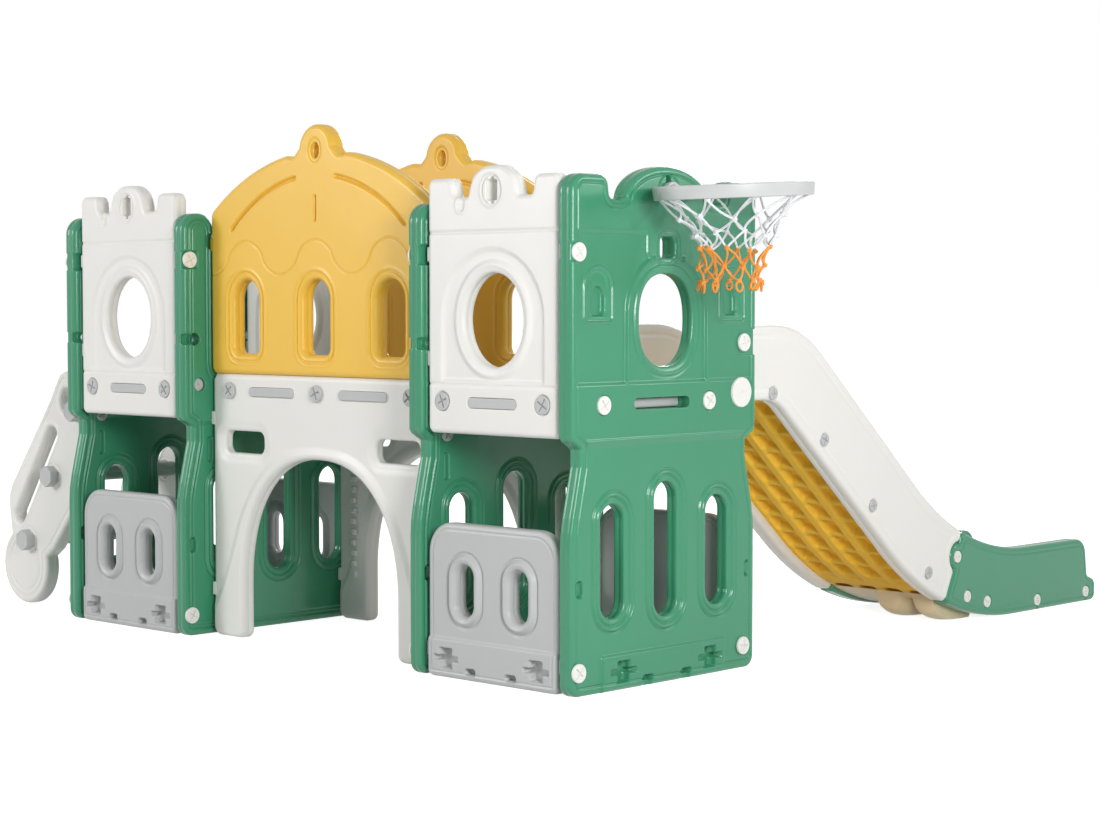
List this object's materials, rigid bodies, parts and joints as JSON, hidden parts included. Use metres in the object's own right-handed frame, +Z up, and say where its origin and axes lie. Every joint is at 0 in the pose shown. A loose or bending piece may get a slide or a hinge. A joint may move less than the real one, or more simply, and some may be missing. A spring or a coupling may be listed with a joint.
{
  "type": "play castle slide",
  "caption": "Indoor play castle: two small towers joined by a crawl-through bridge, with a ladder, a curved slide and a ball hoop",
  "frame": {"origin": "centre of the footprint, on the floor", "axes": "+X from the ladder towards the hoop, +Y from the towers' front towards the slide's exit, +Z up"},
  "size_m": [2.1216, 1.787, 1.016],
  "materials": {
    "green_plastic": "satin moulded",
    "white_plastic": "satin moulded",
    "yellow_plastic": "satin moulded",
    "grey_plastic": "satin moulded",
    "hoop_plastic": "satin moulded",
    "beige_plastic": "satin moulded",
    "white_cord": "knotted cord",
    "orange_cord": "knotted cord"
  },
  "bodies": {
    "root": {"arch_back": "white_plastic", "arch_front": "white_plastic", "deck_bridge": "grey_plastic", "deck_left": "grey_plastic", "deck_right": "grey_plastic", "dome_back": "yellow_plastic", "dome_front": "yellow_plastic", "gate_left_back": "grey_plastic", "gate_left_front": "grey_plastic", "gate_right_back": "grey_plastic", "gate_right_front": "grey_plastic", "ladder_side_back": "white_plastic", "ladder_side_front": "white_plastic", "ladder_tread_1": "grey_plastic", "ladder_tread_2": "grey_plastic", "ladder_tread_3": "grey_plastic", "panel_hoop_side": "green_plastic", "panel_left_inner": "green_plastic", "panel_left_outer": "green_plastic", "panel_right_inner": "green_plastic", "screw_arch_back_1": "grey_plastic", "screw_arch_back_2": "grey_plastic", "screw_arch_back_3": "grey_plastic", "screw_arch_front_1": "grey_plastic", "screw_arch_front_2": "grey_plastic", "screw_arch_front_3": "grey_plastic", "screw_hoop_side_1": "white_plastic", "screw_hoop_side_2": "white_plastic", "screw_hoop_side_3": "white_plastic", "screw_hoop_side_4": "white_plastic", "screw_hoop_side_5": "white_plastic", "screw_hoop_side_6": "white_plastic", "screw_slide_wall_1": "grey_plastic", "screw_slide_wall_2": "grey_plastic", "screw_slide_wall_3": "grey_plastic", "screw_slide_wall_4": "grey_plastic", "screw_window_left_back_1": "grey_plastic", "screw_window_left_back_2": "grey_plastic", "screw_window_left_front_1": "grey_plastic", "screw_window_left_front_2": "grey_plastic", "screw_window_right_front_1": "grey_plastic", "screw_window_right_front_2": "grey_plastic", "slide_bed_lower": "yellow_plastic", "slide_bed_upper": "yellow_plastic", "slide_bolt_left": "white_plastic", "slide_bolt_right": "white_plastic", "slide_exit_wall_left": "green_plastic", "slide_exit_wall_right": "green_plastic", "slide_foot": "beige_plastic", "slide_wall_left": "white_plastic", "slide_wall_right": "white_plastic", "window_left_back": "white_plastic", "window_left_front": "white_plastic", "window_right_front": "white_plastic"},
    "hoop": {"hoop_ring": "hoop_plastic", "hoop_lock": "hoop_plastic", "hoop_net_upper": "white_cord", "hoop_net_lower": "orange_cord"}
  },
  "joints": [
    {"name": "hoop_turn", "type": "hinge", "parent": "root", "child": "hoop", "pos_m": [0.7758, -0.6435, 0.874], "axis": [1, 0, 0], "range_deg": [0, 90]}
  ]
}
